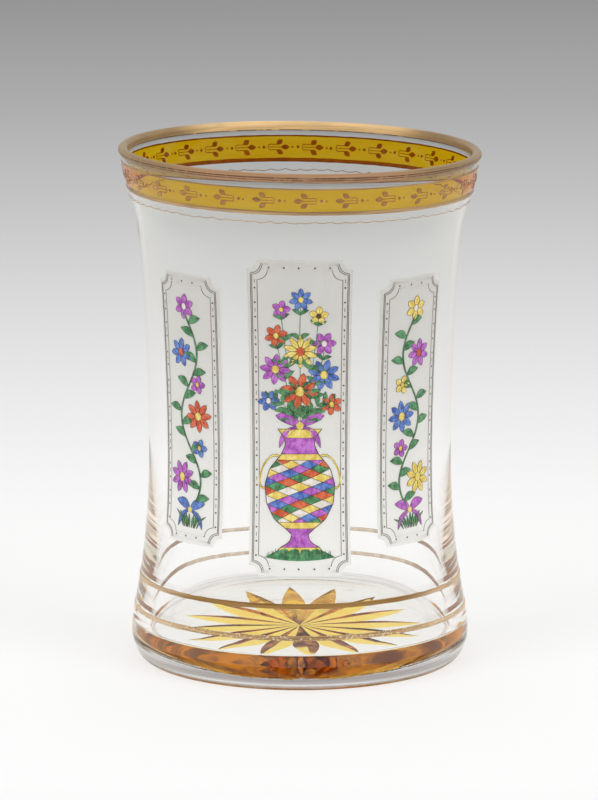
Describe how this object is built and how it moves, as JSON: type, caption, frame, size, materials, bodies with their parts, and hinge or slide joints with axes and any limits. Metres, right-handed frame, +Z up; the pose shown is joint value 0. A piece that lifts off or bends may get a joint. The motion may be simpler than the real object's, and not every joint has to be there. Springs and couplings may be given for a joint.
{
  "type": "glass beaker",
  "caption": "Waisted glass beaker with flared gilt lip, stained trefoil band, enamelled panels, gilt hoops and a thick base cut underneath with a star.",
  "frame": {"origin": "middle of the flat ring that the beaker stands on", "axes": "+Z up along the beaker's axis, -Y towards the viewer's side, where the front panel is"},
  "size_m": [0.08, 0.08, 0.1147],
  "materials": {
    "glass": "clear polished glass with a slight grey-green cast",
    "star_stain": "amber silver stain in polished cuts",
    "band_stain": "yellow silver stain on polished glass",
    "gilding": "fired gilding, brushed on and worn",
    "enamel_ground": "opaque white enamel, slightly glossy",
    "enamel_outline": "thin dark brown enamel line"
  },
  "bodies": {
    "root": {"glass_body": "glass", "star_stain": "star_stain", "stain_band": "band_stain", "lip_gilding": "gilding", "band_top_line": "gilding", "band_bottom_line": "gilding", "scalloped_line": "gilding", "lower_hoop": "gilding", "upper_hoop": "gilding", "trefoil_1": "gilding", "trefoil_2": "gilding", "trefoil_3": "gilding", "trefoil_4": "gilding", "trefoil_5": "gilding", "trefoil_6": "gilding", "trefoil_7": "gilding", "trefoil_8": "gilding", "trefoil_9": "gilding", "trefoil_10": "gilding", "trefoil_11": "gilding", "trefoil_12": "gilding", "trefoil_13": "gilding", "trefoil_14": "gilding", "trefoil_15": "gilding", "trefoil_16": "gilding", "trefoil_17": "gilding", "trefoil_18": "gilding", "trefoil_19": "gilding", "trefoil_20": "gilding", "trefoil_21": "gilding", "trefoil_22": "gilding", "trefoil_23": "gilding", "trefoil_24": "gilding", "trefoil_25": "gilding", "trefoil_26": "gilding", "trefoil_27": "gilding", "trefoil_28": "gilding", "trefoil_29": "gilding", "front_panel": "enamel_ground", "left_panel": "enamel_ground", "right_panel": "enamel_ground", "front_panel_border": "enamel_outline", "left_panel_border": "enamel_outline", "right_panel_border": "enamel_outline"}
  },
  "joints": []
}
